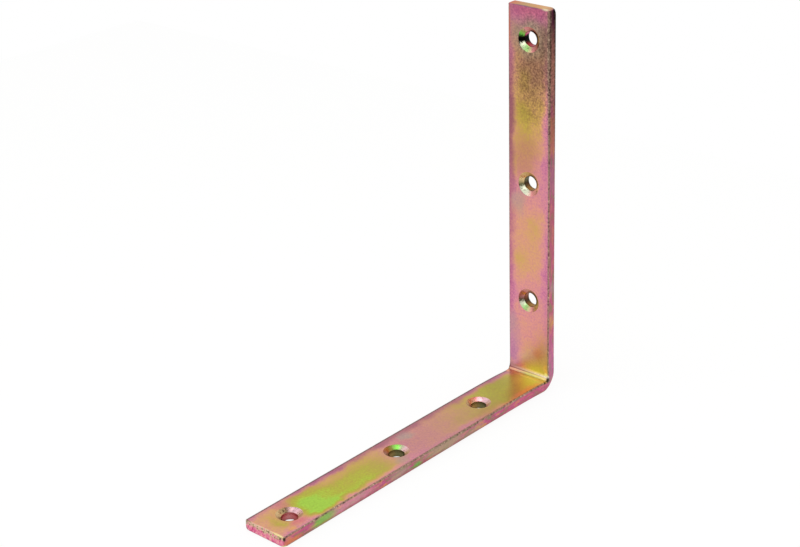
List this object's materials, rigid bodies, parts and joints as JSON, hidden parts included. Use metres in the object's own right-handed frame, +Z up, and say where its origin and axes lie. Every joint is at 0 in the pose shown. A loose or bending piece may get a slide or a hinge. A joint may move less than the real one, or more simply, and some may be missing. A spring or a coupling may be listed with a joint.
{
  "type": "angle bracket",
  "caption": "Heavy-duty L-shaped angle bracket bent from flat steel bar, with countersunk screw holes along both legs, for joining timbers or carrying a shelf at a right angle.",
  "frame": {"origin": "outside corner of the bend at mid-width, on the line where the planes of the two backs meet", "axes": "+X along the base leg away from the corner, +Z up the upright leg, +Y across the width of the bar"},
  "size_m": [0.203, 0.025, 0.203],
  "materials": {
    "yellow_zinc": "yellow-passivated zinc plating on steel, satin, with pink, gold and green tints"
  },
  "bodies": {
    "root": {"bracket": "yellow_zinc"}
  },
  "joints": []
}
